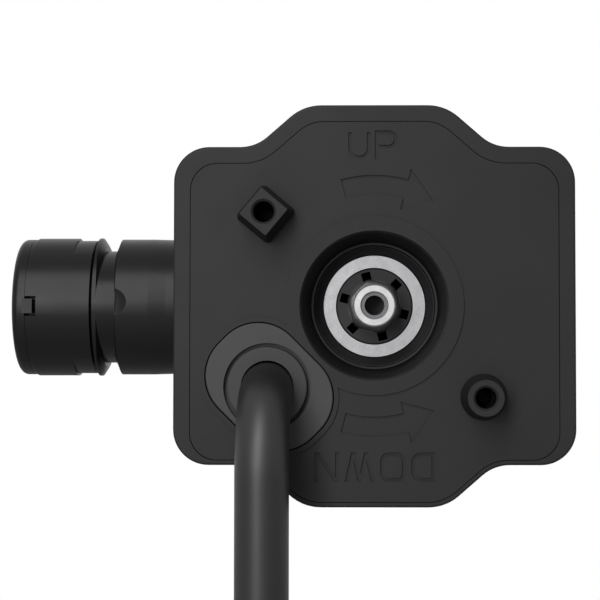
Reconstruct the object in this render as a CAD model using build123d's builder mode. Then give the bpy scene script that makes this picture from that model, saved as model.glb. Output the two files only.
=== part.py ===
from build123d import *
import os
from math import atan2, cos, degrees, pi, radians, sin, sqrt, tan

os.makedirs("parts", exist_ok=True)

# Venetian blind motor, held by two screws through its front posts.
# Origin: middle of the two fixing holes, in the plane of the post tops.
# +Z up, +X right as seen from the front, +Y into the casing. Millimetres.

# Fixing posts
post_height = 7.0
post_pitch = 48.0
post_angle = 140.0
post_hole_r = 1.75
post_hole_mouth_r = 2.12
post_hole_mouth_depth = 0.4
post_hole_point = 0.8
post_hole_depth = 8.2
square_post_base = 7.5
square_post_base_corner_r = 1.0
square_post_top = 5.65
square_post_top_corner_r = 0.15
round_post_base_r = 3.95
round_post_top_r = 3.0

# Casing
face_y = post_height
case_depth = 34.0
half_width = 34.0
half_height = 34.0
shoulder_z = 26.9
crown_half_width = 12.0
slope_foot_x = 20.15
corner_r = 6.0
crown_r = 8.0
slope_foot_r = 7.0
rim = 2.75
bottom_rim = 0.8
cover_gap = 0.12
cover_thickness = 3.0
ledge = 1.3
floor_thickness = 2.5
seal_inset = 0.3
seal_width = 0.7
seal_height = 0.8
seal_fit = 0.03
raised_height = 0.35
engraving_depth = 0.4

# Bore in the front cover
bore_mouth_r = 12.67
bore_cone_depth = 5.5
bore_cone_end_r = 10.84
bore_r = 10.5
bore_boss_r = 12.5
bush_seat_depth = 10.0
bush_step_r = 10.45
bore_boss_depth = 13.4

# Hub
ring_face_depth = 9.5
steel_ring_r = 9.0
steel_ring_bore_r = 6.5
steel_ring_length = 3.4
steel_ring_groove_r = 8.7
steel_ring_groove_width = 0.1
core_face_depth = 9.8
slot_count = 6
slot_radius = 5.4
slot_width = 1.6
slot_length = 1.4
slot_depth = 4.0
slot_turn = 45.0
boss_base_flat = 4.35
boss_corner_r = 1.3
boss_tip_r = 3.6
boss_proud = 0.4
sleeve_r = 3.38
sleeve_bore_r = 2.35
sleeve_length = 7.0
insert_bore_r = 1.68
insert_length = 9.0
hub_shaft_r = 5.0
hub_shoulder_r = 6.2
hub_journal_r = 4.0
hub_journal_length = 5.0
seat_gap = 0.03
running_gap = 0.05

# Cable outlet
cable_r = 4.4
outlet_x = -18.1
outlet_z = -13.75
insert_x = -17.75
insert_z = -13.7
insert_long = 22.4
insert_short = 17.2
insert_corner_r = 7.8
insert_gap = 0.15
insert_thickness = 2.3
collar_width = 0.75
groove_r = 7.4
groove_depth = 1.4
grommet_r = 6.75
grommet_length = 8.5

# Side barrel, turned about the motor axis; reaches are measured out from the casing's side
axle_depth = 17.0
barrel_reach = 28.6
cap_edge_r = 1.2
cap_seam_reach = 26.2
cap_r = 12.0
sleeve_end_reach = 15.15
pad_end_reach = 18.5
skirt_r = 11.8
pad_r = 12.2
pad_cross = 0.3
lug_r = 12.25
lug_root_r = 9.4
lug_end_reach = 13.4
neck_r = 9.93
neck_front_r = 11.85
neck_gap = 0.45
neck_end_reach = 11.6
shoulder_reach = 10.7
barrel_r = 12.03
barrel_root_r = 11.94
barrel_step_reach = 5.0
barrel_bore_r = 8.95
skirt_bore_r = 10.1
skirt_mouth_r = 11.1
skirt_mouth_depth = 1.6
notch_width = 3.4
notch_length = 1.9
tab_width = 2.5
tab_length = 1.25

# Motor and gears
can_r = 8.0
can_wall = 0.6
motor_length = 28.0
motor_front_gap = 1.95
shaft_r = 1.0
planet_module = 0.35
sun_teeth = 12
planet_teeth = 18
ring_teeth = 48
planet_count = 3
planet_gap = 3.55
planet_width = 3.4
ring_body_r = 9.75
pinion_module = 0.72
pinion_teeth = 9
crown_teeth = 45
crown_face = 3.0
crown_web = 2.5
tooth_backlash = 0.16
crown_backlash = 0.3
pin_r = 0.9

# Lead
lead_layers_gap = 0.8
coil_top_clear = 6.0
view_bottom_z = -48.0
coil_outer_r = 50.0
coil_turns_in = 1.25
hang_offset = 14.8
plug_r = 11.0
plug_length = 46.0
tie_width = 5.0
tie_thickness = 1.2

# Values worked out from the sizes above
back_y = face_y + case_depth
floor_y = back_y - floor_thickness
cover_back_y = face_y + cover_thickness
wall = rim + ledge
inner_wall_x = -(half_width - wall)
axle_y = face_y + axle_depth
barrel_end_x = -(half_width + barrel_reach)
cap_seam_x = -(half_width + cap_seam_reach)
pad_end_x = -(half_width + pad_end_reach)
sleeve_end_x = -(half_width + sleeve_end_reach)
lug_end_x = -(half_width + lug_end_reach)
neck_start_x = sleeve_end_x + neck_gap
pad_start_x = cap_seam_x + 0.7
neck_end_x = -(half_width + neck_end_reach)
shoulder_x = -(half_width + shoulder_reach)
barrel_step_x = -(half_width + barrel_step_reach)
motor_front_x = inner_wall_x + motor_front_gap
motor_rear_x = motor_front_x - motor_length
planet_x = inner_wall_x + planet_gap
motor_axis = Axis((0, axle_y, 0), (1, 0, 0))
pinion_pitch_r = pinion_module * pinion_teeth / 2
crown_pitch_r = pinion_module * crown_teeth / 2
planet_pitch_r = planet_module * planet_teeth / 2
sun_pitch_r = planet_module * sun_teeth / 2
ring_pitch_r = planet_module * ring_teeth / 2
planet_orbit_r = sun_pitch_r + planet_pitch_r
mesh_y = axle_y + pinion_pitch_r


def front_plane(y):
    """Plane at depth y with local x to the right and local y up, normal out of the face."""
    return Plane.XZ.offset(-y)


def side_plane(x):
    """Plane across the motor axis at x, with its origin on the axis; local x is +Y, local y +Z."""
    return Plane(origin=(x, axle_y, 0), x_dir=(0, 1, 0), z_dir=(1, 0, 0))


def finish(builder, name):
    """Label a piece and write it to its own file."""
    builder.part.label = name
    export_step(builder.part, f"parts/{name}.step")


def casing_points(inset, bottom_inset):
    """Corners of the stepped outline and their radii, drawn in by inset and, below, bottom_inset."""
    slope = atan2(half_height - shoulder_z, slope_foot_x - crown_half_width)
    shift = inset * tan(slope / 2)
    low = bottom_inset * tan(slope / 2)
    top, shoulder = half_height - inset, shoulder_z - inset
    base, low_shoulder = half_height - bottom_inset, shoulder_z - bottom_inset
    side = half_width - inset
    corners = [
        (crown_half_width - shift, top, crown_r - inset / 2),
        (slope_foot_x - shift, shoulder, slope_foot_r + inset / 2),
        (side, shoulder, corner_r - inset / 2),
        (side, -low_shoulder, corner_r - inset / 2),
        (slope_foot_x - low, -low_shoulder, slope_foot_r + bottom_inset / 2),
        (crown_half_width - low, -base, crown_r - bottom_inset / 2),
    ]
    mirrored = [(-x, z, r) for x, z, r in reversed(corners)]
    return corners + mirrored


def casing_face(inset=0.0, bottom_inset=0.0):
    """Draw the stepped outline in the sketch at hand."""
    corners = casing_points(inset, bottom_inset)
    with BuildLine() as outline:
        FilletPolyline(*[(x, z) for x, z, r in corners], radius=[r for x, z, r in corners], close=True)
    return make_face(outline.edges())


def turned(*profile):
    """Draw a closed half section of a part turned about the motor axis, as (x, radius) points."""
    with BuildLine() as outline:
        Polyline(*[(x, axle_y + r) for x, r in profile], close=True)
    make_face(outline.edges())


def hub_turned(*profile):
    """Draw a closed half section of a part turned about the hub axis, as (radius, y) points."""
    with BuildLine() as outline:
        Polyline(*profile, close=True)
    make_face(outline.edges())


def involute_tooth(module, teeth, tip_r, root_r, thinning):
    """Corners of one gear tooth pointing along +x; each flank is an involute in four chords."""
    pitch_r = module * teeth / 2
    base_r = pitch_r * cos(radians(20))
    pitch_roll = sqrt((pitch_r / base_r) ** 2 - 1)
    half = pi / 2 / teeth - thinning / 2 / pitch_r + pitch_roll - atan2(pitch_roll, 1)
    flank = []
    for step in range(5):
        r = max(base_r, root_r) + (tip_r - max(base_r, root_r)) * step / 4
        roll = sqrt(max((r / base_r) ** 2 - 1, 0))
        angle = half - (roll - atan2(roll, 1))
        flank.append((r * cos(angle), r * sin(angle)))
    foot_angle = atan2(flank[0][1], flank[0][0])
    foot_r = root_r * 0.9
    foot = [(foot_r * cos(foot_angle), foot_r * sin(foot_angle))]
    upper = foot + flank
    return upper + [(x, -y) for x, y in reversed(upper)]


def gear_face(module, teeth, tip_r, root_r, thinning, turn=0.0):
    """Draw a spur gear's outline about the sketch's origin, one tooth centred at angle turn."""
    Circle(root_r)
    points = involute_tooth(module, teeth, tip_r, root_r, thinning)
    with PolarLocations(0, teeth, start_angle=turn):
        with BuildLine(mode=Mode.PRIVATE) as outline:
            Polyline(*points, close=True)
        add(make_face(outline.edges(), mode=Mode.PRIVATE))


def seal_face(clearance):
    """Draw the band of the seal, smaller than its groove by clearance on each side."""
    near = seal_inset + clearance
    far = seal_inset + seal_width - clearance
    casing_face(rim + near, bottom_rim + near)
    corners = casing_points(rim + far, bottom_rim + far)
    with BuildLine() as inner:
        FilletPolyline(*[(x, z) for x, z, r in corners], radius=[r for x, z, r in corners], close=True)
    make_face(inner.edges(), mode=Mode.SUBTRACT)


# Rear casing: tub with a rebate for the cover, four screw columns and a boss for the hub
column_x = half_width - 7.5
column_z = shoulder_z - 7.4
column_r = 3.4
screw_r = 1.45
screw_head_r = 2.6
screw_head_height = 1.8
screw_sink = 2.2
column_spots = [(x, z) for x in (-column_x, column_x) for z in (-column_z, column_z)]
column_front_y = cover_back_y + 6.0
rear_bush_r = 6.0
rear_bush_length = 4.8
barrel_hole_r = barrel_root_r + running_gap
flange_r = 13.5
flange_thickness = 2.0

with BuildPart() as rear_casing:
    with BuildSketch(front_plane(face_y)):
        casing_face()
    extrude(amount=-case_depth)
    fillet(rear_casing.faces().sort_by(Axis.Y)[-1].edges(), 1.5)
    fillet(rear_casing.faces().sort_by(Axis.Y)[0].edges(), 0.4)
    with BuildSketch(front_plane(face_y)):
        casing_face(rim, bottom_rim)
    extrude(amount=-cover_thickness, mode=Mode.SUBTRACT)
    with BuildSketch(front_plane(cover_back_y)):
        casing_face(wall, bottom_rim + ledge)
    extrude(amount=-(floor_y - cover_back_y), mode=Mode.SUBTRACT)
    with BuildSketch(front_plane(cover_back_y)):
        seal_face(0)
    extrude(amount=-(seal_height + 0.05), mode=Mode.SUBTRACT)
    with BuildSketch(front_plane(floor_y)):
        with Locations(*column_spots):
            Circle(column_r)
    extrude(amount=floor_y - column_front_y)
    with BuildSketch(front_plane(floor_y)):
        Circle(rear_bush_r + 1.6)
    extrude(amount=rear_bush_length)
    with BuildSketch(front_plane(floor_y)):
        Circle(rear_bush_r)
    extrude(amount=rear_bush_length, mode=Mode.SUBTRACT)
    with BuildSketch(front_plane(back_y)):
        with Locations(*column_spots):
            Circle(screw_r + 0.15)
    extrude(amount=case_depth, mode=Mode.SUBTRACT)
    with BuildSketch(front_plane(back_y)):
        with Locations(*column_spots):
            Circle(screw_head_r + 0.3)
    extrude(amount=screw_sink, mode=Mode.SUBTRACT)
    with BuildSketch(side_plane(-half_width - 1)):
        Circle(barrel_hole_r)
    extrude(amount=wall + 2, mode=Mode.SUBTRACT)
finish(rear_casing, "rear_casing")

# Front cover: flush plate with posts, raised ring, bore boss, screw bosses and engraved signs
post_r = post_pitch / 2
square_spot = (post_r * cos(radians(post_angle)), post_r * sin(radians(post_angle)))
round_spot = (-square_spot[0], -square_spot[1])
boss_r = 3.0
board_hub_gap = 1.4
board_wall_gap = 1.05
board_left_x = bore_boss_r + board_hub_gap
board_width = half_width - wall - board_wall_gap - board_left_x
board_x = board_left_x + board_width / 2
board_z = 0.0
board_height = 30.0
board_thickness = 1.6
board_y = cover_back_y + 4.0
standoff_r = 2.0
standoff_spots = [(board_x, board_z + side * (board_height / 2 - 3)) for side in (-1, 1)]
arrow_inner_r = 18.75
arrow_outer_r = 22.1
arrow_half_angle = 15.0
arrow_head_inner_r = 16.8
arrow_head_outer_r = 24.0
arrow_tip_r = 20.3
arrow_tip_angle = 29.5
letter_height = 4.9
letter_corner = 1.4
stroke_width = 0.62
up_centre = (-0.25, 27.2)
down_centre = (0.05, -27.2)


def polar(r, angle_from_top):
    """Point at radius r, clockwise from straight up as seen from the front."""
    return (r * sin(radians(angle_from_top)), r * cos(radians(angle_from_top)))


def arrow_face(flip):
    """Draw a curved arrow over the bore; flip is -1 for its mirror image below the bore."""
    outer = [polar(arrow_outer_r, a) for a in (-arrow_half_angle, 0, arrow_half_angle)]
    inner = [polar(arrow_inner_r, a) for a in (arrow_half_angle, 0, -arrow_half_angle)]
    barb_out = polar(arrow_head_outer_r, arrow_half_angle)
    tip = polar(arrow_tip_r, arrow_tip_angle)
    barb_in = polar(arrow_head_inner_r, arrow_half_angle)
    sign = [(x, z * flip) for x, z in outer + inner + [barb_out, tip, barb_in]]
    with BuildLine() as outline:
        ThreePointArc(*sign[0:3])
        Polyline(sign[2], sign[6], sign[7], sign[8], sign[3])
        ThreePointArc(*sign[3:6])
        Line(sign[5], sign[0])
    make_face(outline.edges())


def bar(start, end):
    """Draw a straight stroke with level ends between two (x, z) points."""
    (x0, z0), (x1, z1) = start, end
    half = stroke_width / 2 * sqrt((x1 - x0) ** 2 + (z1 - z0) ** 2) / abs(z1 - z0)
    with BuildLine() as outline:
        Polyline((x0 - half, z0), (x0 + half, z0), (x1 + half, z1), (x1 - half, z1), close=True)
    make_face(outline.edges())


def letter_strokes(letter, left, width):
    """Draw one capital in plain strokes from x = left, standing on y = 0."""
    top = letter_height - stroke_width / 2
    low = stroke_width / 2
    right = left + width
    bow = width / 2
    if letter == "U":
        with BuildLine() as pen:
            Line((left, top), (left, low + bow))
            JernArc((left, low + bow), (0, -1), bow, 180)
            Line((right, low + bow), (right, top))
        trace(pen.edges(), line_width=stroke_width)
    if letter in "PD":
        floor_level = low if letter == "D" else top - letter_height * 0.5
        corner = letter_corner if letter == "D" else (top - floor_level) / 2
        with BuildLine() as pen:
            Line((left, floor_level), (right - corner, floor_level))
            JernArc((right - corner, floor_level), (1, 0), corner, 90)
            if letter == "D":
                Line((right, floor_level + corner), (right, top - corner))
            JernArc((right, top - corner), (0, 1), corner, 90)
            Line((right - corner, top), (left, top))
        trace(pen.edges(), line_width=stroke_width)
        bar((left, 0), (left, letter_height))
    if letter == "O":
        with Locations((left + width / 2, letter_height / 2)):
            RectangleRounded(width + stroke_width, letter_height, letter_corner)
            RectangleRounded(width - stroke_width, letter_height - 2 * stroke_width,
                             letter_corner - stroke_width, mode=Mode.SUBTRACT)
    if letter == "W":
        for quarter in range(4):
            foot = left + width * (0.25 if quarter < 2 else 0.75)
            bar((left + width * ((quarter + 1) // 2) / 2, letter_height), (foot, 0))
    if letter == "N":
        bar((left, 0), (left, letter_height))
        bar((left + 0.08, letter_height), (right - 0.08, 0))
        bar((right, 0), (right, letter_height))


def word_face(letters, gap, centre, turn):
    """Draw a word of (letter, width) pairs about a centre, turned by turn degrees."""
    length = sum(width for letter, width in letters) + gap * (len(letters) - 1)
    with BuildSketch(mode=Mode.PRIVATE) as word:
        left = -length / 2
        for letter, width in letters:
            letter_strokes(letter, left, width)
            left += width + gap
    middle = Location((centre[0], centre[1], 0), (0, 0, turn)) * Location((0, -letter_height / 2, 0))
    add(word.sketch.moved(middle))


with BuildPart() as front_cover:
    with BuildSketch(front_plane(face_y)):
        casing_face(rim + cover_gap, bottom_rim + cover_gap)
    extrude(amount=-cover_thickness)
    with BuildSketch(front_plane(face_y)):
        Circle(bore_mouth_r + 2.45)
        with Locations(Location((insert_x, insert_z, 0), (0, 0, -45))):
            RectangleRounded(insert_long + 2 * (insert_gap + collar_width),
                             insert_short + 2 * (insert_gap + collar_width),
                             insert_corner_r + collar_width)
    extrude(amount=raised_height)
    with BuildSketch(front_plane(cover_back_y)):
        Circle(bore_boss_r)
    extrude(amount=-(bore_boss_depth - cover_thickness))
    with BuildSketch(front_plane(cover_back_y)):
        with Locations(*column_spots):
            Circle(boss_r)
    extrude(amount=-(column_front_y - cover_back_y - 0.1))
    with BuildSketch(front_plane(cover_back_y)):
        with Locations(*standoff_spots):
            Circle(standoff_r)
    extrude(amount=-(board_y - cover_back_y))
    with BuildSketch(front_plane(cover_back_y)):
        with Locations((outlet_x, outlet_z)):
            Circle(grommet_r + 1.3)
    extrude(amount=-2.5)
    # square post, tapered, turned to the line of the two posts
    with BuildSketch(front_plane(face_y)):
        with Locations(Location((*square_spot, 0), (0, 0, post_angle))):
            RectangleRounded(square_post_base, square_post_base, square_post_base_corner_r)
    with BuildSketch(front_plane(0)):
        with Locations(Location((*square_spot, 0), (0, 0, post_angle))):
            RectangleRounded(square_post_top, square_post_top, square_post_top_corner_r)
    loft()
    with BuildSketch(front_plane(face_y)):
        with Locations(round_spot):
            Circle(round_post_base_r)
    with BuildSketch(front_plane(0)):
        with Locations(round_spot):
            Circle(round_post_top_r)
    loft()
    # bore: cone at the mouth, straight wall, then the seat of the hub bush
    with BuildSketch(Plane.XY):
        hub_turned((0, face_y - raised_height - 1), (bore_mouth_r + 1.2, face_y - raised_height - 1),
                   (bore_mouth_r, face_y - raised_height), (bore_cone_end_r, face_y + bore_cone_depth),
                   (bore_r, face_y + bore_cone_depth + 0.05), (bore_r, face_y + bush_seat_depth),
                   (bush_step_r, face_y + bush_seat_depth), (bush_step_r, face_y + bore_boss_depth + 1),
                   (0, face_y + bore_boss_depth + 1))
    revolve(axis=Axis.Y, mode=Mode.SUBTRACT)
    # pocket of the outlet insert and the way through for the grommet
    with BuildSketch(front_plane(face_y - raised_height - 0.1)):
        with Locations(Location((insert_x, insert_z, 0), (0, 0, -45))):
            RectangleRounded(insert_long + 2 * insert_gap, insert_short + 2 * insert_gap,
                             insert_corner_r + insert_gap / 2)
    extrude(amount=-(insert_thickness + raised_height + 0.1), mode=Mode.SUBTRACT)
    with BuildSketch(front_plane(face_y)):
        with Locations((outlet_x, outlet_z)):
            Circle(grommet_r + running_gap)
    extrude(amount=-(cover_thickness + 3), mode=Mode.SUBTRACT)
    # blind screw holes in the posts, with a lead-in and a drill point
    with BuildSketch(front_plane(0)):
        with Locations(square_spot, round_spot):
            Circle(post_hole_r)
    extrude(amount=-(post_hole_depth - post_hole_point), mode=Mode.SUBTRACT)
    with BuildSketch(front_plane(post_hole_depth - post_hole_point)):
        with Locations(square_spot, round_spot):
            Circle(post_hole_r)
    extrude(amount=-post_hole_point, taper=45, mode=Mode.SUBTRACT)
    with BuildSketch(front_plane(0)):
        with Locations(square_spot, round_spot):
            Circle(post_hole_mouth_r)
    extrude(amount=-post_hole_mouth_depth, mode=Mode.SUBTRACT,
            taper=degrees(atan2(post_hole_mouth_r - post_hole_r, post_hole_mouth_depth)))
    # pilot holes for the casing screws and the board screws
    with BuildSketch(front_plane(column_front_y)):
        with Locations(*column_spots):
            Circle(screw_r + 0.05)
        with Locations(*standoff_spots):
            Circle(0.9)
    extrude(amount=column_front_y - cover_back_y + 1.0, mode=Mode.SUBTRACT)
    # engraved direction signs
    with BuildSketch(front_plane(face_y)):
        arrow_face(1)
        arrow_face(-1)
        word_face([("U", 3.15), ("P", 3.2)], 1.35, up_centre, 0)
        word_face([("D", 3.4), ("O", 3.6), ("W", 4.4), ("N", 3.5)], 1.6, down_centre, 180)
    extrude(amount=-engraving_depth, mode=Mode.SUBTRACT)
finish(front_cover, "front_cover")

# Outlet insert: pale moulded surround of the cable, with a groove round its grommet
insert_front_y = face_y - raised_height + 0.1
grommet_hole_r = grommet_r + running_gap
with BuildPart() as outlet_insert:
    with BuildSketch(front_plane(insert_front_y)):
        with Locations(Location((insert_x, insert_z, 0), (0, 0, -45))):
            RectangleRounded(insert_long, insert_short, insert_corner_r)
        with Locations((outlet_x, outlet_z)):
            Circle(grommet_hole_r, mode=Mode.SUBTRACT)
    extrude(amount=-(face_y + insert_thickness - insert_front_y))
    with BuildSketch(front_plane(insert_front_y)):
        with Locations((outlet_x, outlet_z)):
            Circle(groove_r)
            Circle(grommet_hole_r - 0.01, mode=Mode.SUBTRACT)
    extrude(amount=-groove_depth, mode=Mode.SUBTRACT)
    fillet(outlet_insert.faces().sort_by(Axis.Y)[0].outer_wire().edges(), 0.25)
finish(outlet_insert, "outlet_insert")

with BuildPart() as cable_grommet:
    with BuildSketch(front_plane(insert_front_y)):
        with Locations((outlet_x, outlet_z)):
            Circle(grommet_r)
            Circle(cable_r + running_gap, mode=Mode.SUBTRACT)
    extrude(amount=-grommet_length)
    fillet(cable_grommet.faces().sort_by(Axis.Y)[0].outer_wire().edges(), 0.3)
finish(cable_grommet, "cable_grommet")

# Seal in the groove of the casing's ledge
with BuildPart() as cover_seal:
    with BuildSketch(front_plane(cover_back_y)):
        seal_face(seal_fit)
    extrude(amount=-seal_height)
finish(cover_seal, "cover_seal")

# Casing screws, driven from the back through the columns into the cover
screw_tip_y = cover_back_y - 0.6
driver_slot_length = 3.0
driver_slot_width = 0.7
driver_slot_depth = 1.1
with BuildPart() as casing_screws:
    with BuildSketch(front_plane(back_y - screw_sink)):
        with Locations(*column_spots):
            Circle(screw_r)
    extrude(amount=back_y - screw_sink - screw_tip_y)
    with BuildSketch(front_plane(back_y - screw_sink)):
        with Locations(*column_spots):
            Circle(screw_head_r)
    extrude(amount=-screw_head_height)
    with BuildSketch(front_plane(back_y - screw_sink + screw_head_height)):
        with Locations(*column_spots):
            Rectangle(driver_slot_length, driver_slot_width)
            Rectangle(driver_slot_width, driver_slot_length)
    extrude(amount=driver_slot_depth, mode=Mode.SUBTRACT)
finish(casing_screws, "casing_screws")

# Motor barrel: neck with a lug above and below, scooped shoulder and a flange inside the casing
barrel_tube_end_x = cap_seam_x + 0.1
flange_front_x = inner_wall_x + flange_thickness
lead_r = 0.4
lead_orbit_r = (can_r + barrel_bore_r) / 2
lead_drop_z = -(ring_body_r + 1.9)
lead_bend_x = inner_wall_x + flange_thickness / 2
scoop_r = 8.5
scoop_depth = 0.7
scoop_rise = 1.2
scoop_x = shoulder_x - 1.3
gear_screw_r = 0.8
ear_y = -5.0
ear_z = ring_body_r + 1.2
ear_r = 1.7
with BuildPart() as motor_barrel:
    with BuildSketch(Plane.XY):
        turned((barrel_tube_end_x, barrel_bore_r), (barrel_tube_end_x, neck_r), (neck_end_x, neck_r),
               (shoulder_x, barrel_r), (barrel_step_x, barrel_r), (barrel_step_x + 3, barrel_root_r),
               (inner_wall_x + 0.05, barrel_root_r), (inner_wall_x + 0.05, flange_r),
               (flange_front_x, flange_r), (flange_front_x, barrel_bore_r))
    revolve(axis=motor_axis)
    with Locations((scoop_x, axle_y - barrel_r - scoop_r + scoop_depth, scoop_rise)):
        Sphere(scoop_r, mode=Mode.SUBTRACT)
    with BuildSketch(side_plane(neck_start_x)):
        Ellipse(neck_front_r, neck_r)
        Circle(barrel_bore_r, mode=Mode.SUBTRACT)
    extrude(amount=shoulder_x - neck_start_x)
    with BuildPart(mode=Mode.PRIVATE) as lugs:
        with BuildSketch(Plane.XY):
            turned((neck_start_x, lug_root_r), (neck_start_x, lug_r), (neck_start_x + 0.4, lug_r),
                   (lug_end_x - 0.3, lug_r - 0.9), (lug_end_x, lug_r - 1.5), (lug_end_x, lug_root_r))
        revolve(axis=motor_axis)
        with BuildSketch(side_plane(neck_start_x)):
            Ellipse(neck_front_r - 0.05, lug_r + 0.3)
        extrude(amount=lug_end_x - neck_start_x, mode=Mode.INTERSECT)
    add(lugs.part)
    with BuildSketch(side_plane(inner_wall_x + 0.05)):
        with Locations((0, -flange_r)):
            Rectangle(4.2, 2 * (flange_r - can_r), align=(Align.CENTER, Align.CENTER))
    extrude(amount=flange_thickness, mode=Mode.SUBTRACT)
    with BuildSketch(side_plane(inner_wall_x)):
        with Locations((ear_y, ear_z), (ear_y, -ear_z)):
            Circle(gear_screw_r + 0.05)
    extrude(amount=flange_thickness + 1, mode=Mode.SUBTRACT)
finish(motor_barrel, "motor_barrel")

# Barrel sleeve: cylinder over the neck with a pad above and below, lower behind them, and a notch
skirt_bore_end_x = sleeve_end_x - skirt_mouth_depth


def end_sector(half_angle, direction, reach=20.0):
    """Draw a wedge from the motor axis towards local angle direction, half_angle each way."""
    a, b = radians(direction - half_angle), radians(direction + half_angle)
    with BuildLine() as outline:
        Polyline((0, 0), (reach * cos(a), reach * sin(a)), (reach * cos(b), reach * sin(b)), close=True)
    make_face(outline.edges())


with BuildPart() as barrel_sleeve:
    with BuildSketch(side_plane(cap_seam_x)):
        Circle(cap_r)
    extrude(amount=pad_start_x - cap_seam_x)
    with BuildSketch(side_plane(pad_start_x)):
        Circle(cap_r)
        Ellipse(cap_r - pad_cross, pad_r)
    extrude(amount=pad_end_x - pad_start_x)
    with BuildSketch(side_plane(pad_end_x)):
        Circle(cap_r)
        Ellipse(cap_r + pad_cross, skirt_r, mode=Mode.INTERSECT)
    extrude(amount=sleeve_end_x - pad_end_x)
    with BuildSketch(Plane.XY):
        turned((cap_seam_x, 0), (cap_seam_x, skirt_bore_r), (skirt_bore_end_x, skirt_bore_r),
               (skirt_bore_end_x, skirt_mouth_r), (sleeve_end_x, skirt_mouth_r), (sleeve_end_x, 0))
    revolve(axis=motor_axis, mode=Mode.SUBTRACT)
    with BuildSketch(front_plane(axle_y - cap_r - 1)):
        with Locations((cap_seam_x, 0)):
            Rectangle(notch_length, notch_width, align=(Align.MIN, Align.CENTER))
    extrude(amount=-(cap_r + 1 - 8), mode=Mode.SUBTRACT)
finish(barrel_sleeve, "barrel_sleeve")

# End cap with its spigot in the barrel and a tab in the sleeve's notch
cap_pocket_r = 8.0
seam_gap = 0.06
cap_spigot_r = barrel_bore_r - running_gap
cap_floor_x = barrel_end_x + 1.4
cap_spigot_x = cap_seam_x + 1.6
with BuildPart() as end_cap:
    with BuildSketch(Plane.XY):
        turned((barrel_end_x, 0), (barrel_end_x, cap_r), (cap_seam_x - seam_gap, cap_r),
               (cap_seam_x - seam_gap, cap_spigot_r), (cap_spigot_x, cap_spigot_r),
               (cap_spigot_x, cap_pocket_r), (cap_floor_x, cap_pocket_r), (cap_floor_x, 0))
    revolve(axis=motor_axis)
    fillet(end_cap.faces().sort_by(Axis.X)[0].edges(), cap_edge_r)
    with BuildSketch(front_plane(axle_y - cap_r)):
        with Locations((cap_seam_x - 0.5, 0)):
            Rectangle(tab_length + 0.5, tab_width, align=(Align.MIN, Align.CENTER))
    extrude(amount=-1.6)
finish(end_cap, "end_cap")

# Motor: drawn can, plastic end bell, arc magnets, brushes and plain bearings
bell_x = motor_rear_x - 1.2
bell_spigot_x = motor_rear_x + 1.4
motor_bearing_r = 2.0
with BuildPart() as motor_can:
    with BuildSketch(Plane.XY):
        turned((motor_rear_x, can_r - can_wall), (motor_rear_x, can_r), (motor_front_x, can_r),
               (motor_front_x, motor_bearing_r + seat_gap), (motor_front_x - 1, motor_bearing_r + seat_gap),
               (motor_front_x - 1, can_r - can_wall))
    revolve(axis=motor_axis)
    fillet(motor_can.faces().sort_by(Axis.X)[-1].outer_wire().edges(), 0.5)
finish(motor_can, "motor_can")

with BuildPart() as motor_end_bell:
    with BuildSketch(Plane.XY):
        turned((bell_x, motor_bearing_r + seat_gap), (bell_x, can_r), (motor_rear_x, can_r),
               (motor_rear_x, can_r - can_wall - running_gap),
               (bell_spigot_x, can_r - can_wall - running_gap),
               (bell_spigot_x, motor_bearing_r + 0.6), (bell_spigot_x - 0.6, motor_bearing_r + 0.6),
               (bell_spigot_x - 0.6, motor_bearing_r + seat_gap))
    revolve(axis=motor_axis)
finish(motor_end_bell, "motor_end_bell")

with BuildPart() as motor_bearings:
    with BuildSketch(Plane.XY):
        turned((bell_x, shaft_r + running_gap), (bell_x, motor_bearing_r),
               (bell_spigot_x - 0.6, motor_bearing_r), (bell_spigot_x - 0.6, shaft_r + running_gap))
        turned((motor_front_x - 1.6, shaft_r + running_gap), (motor_front_x - 1.6, motor_bearing_r),
               (motor_front_x, motor_bearing_r), (motor_front_x, shaft_r + running_gap))
    revolve(axis=motor_axis)
finish(motor_bearings, "motor_bearings")

magnet_rear_x = motor_rear_x + 5
magnet_front_x = motor_front_x - 4
magnet_bore_r = 5.9
with BuildPart() as motor_magnets:
    with BuildSketch(Plane.XY):
        turned((magnet_rear_x, magnet_bore_r), (magnet_rear_x, can_r - can_wall - running_gap),
               (magnet_front_x, can_r - can_wall - running_gap), (magnet_front_x, magnet_bore_r))
    revolve(axis=motor_axis)
    with BuildSketch(side_plane(magnet_rear_x)):
        end_sector(64, 0)
        end_sector(64, 180)
    extrude(amount=magnet_front_x - magnet_rear_x, mode=Mode.INTERSECT)
finish(motor_magnets, "motor_magnets")

damper_length = 2.0
damper_xs = [motor_rear_x + 3, motor_front_x - 4.5]
with BuildPart() as motor_damper_rings:
    for x in damper_xs:
        with BuildSketch(side_plane(x)):
            Circle(barrel_bore_r - seat_gap)
            Circle(can_r + seat_gap, mode=Mode.SUBTRACT)
            with Locations((0, -can_r)):
                Rectangle(4.0, 3.0, mode=Mode.SUBTRACT)
        extrude(amount=damper_length)
finish(motor_damper_rings, "motor_damper_rings")

commutator_r = 2.2
commutator_rear_x = bell_spigot_x + 0.3
commutator_front_x = commutator_rear_x + 2.8
brush_width = 1.6
with BuildPart() as motor_brushes:
    with BuildSketch(side_plane(bell_spigot_x)):
        with Locations((0, commutator_r + 1.75), (0, -commutator_r - 1.75)):
            Rectangle(brush_width, 3.3)
    extrude(amount=2.2)
finish(motor_brushes, "motor_brushes")

# Armature: shaft, three-pole core, coils, commutator, sun gear and encoder magnet
shaft_rear_x = cap_spigot_x - 0.6
sun_rear_x = planet_x - 0.2
sun_front_x = planet_x + planet_width + 0.1
with BuildPart() as motor_shaft:
    with BuildSketch(side_plane(shaft_rear_x)):
        Circle(shaft_r)
    extrude(amount=sun_front_x - shaft_rear_x)
finish(motor_shaft, "motor_shaft")

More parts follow.
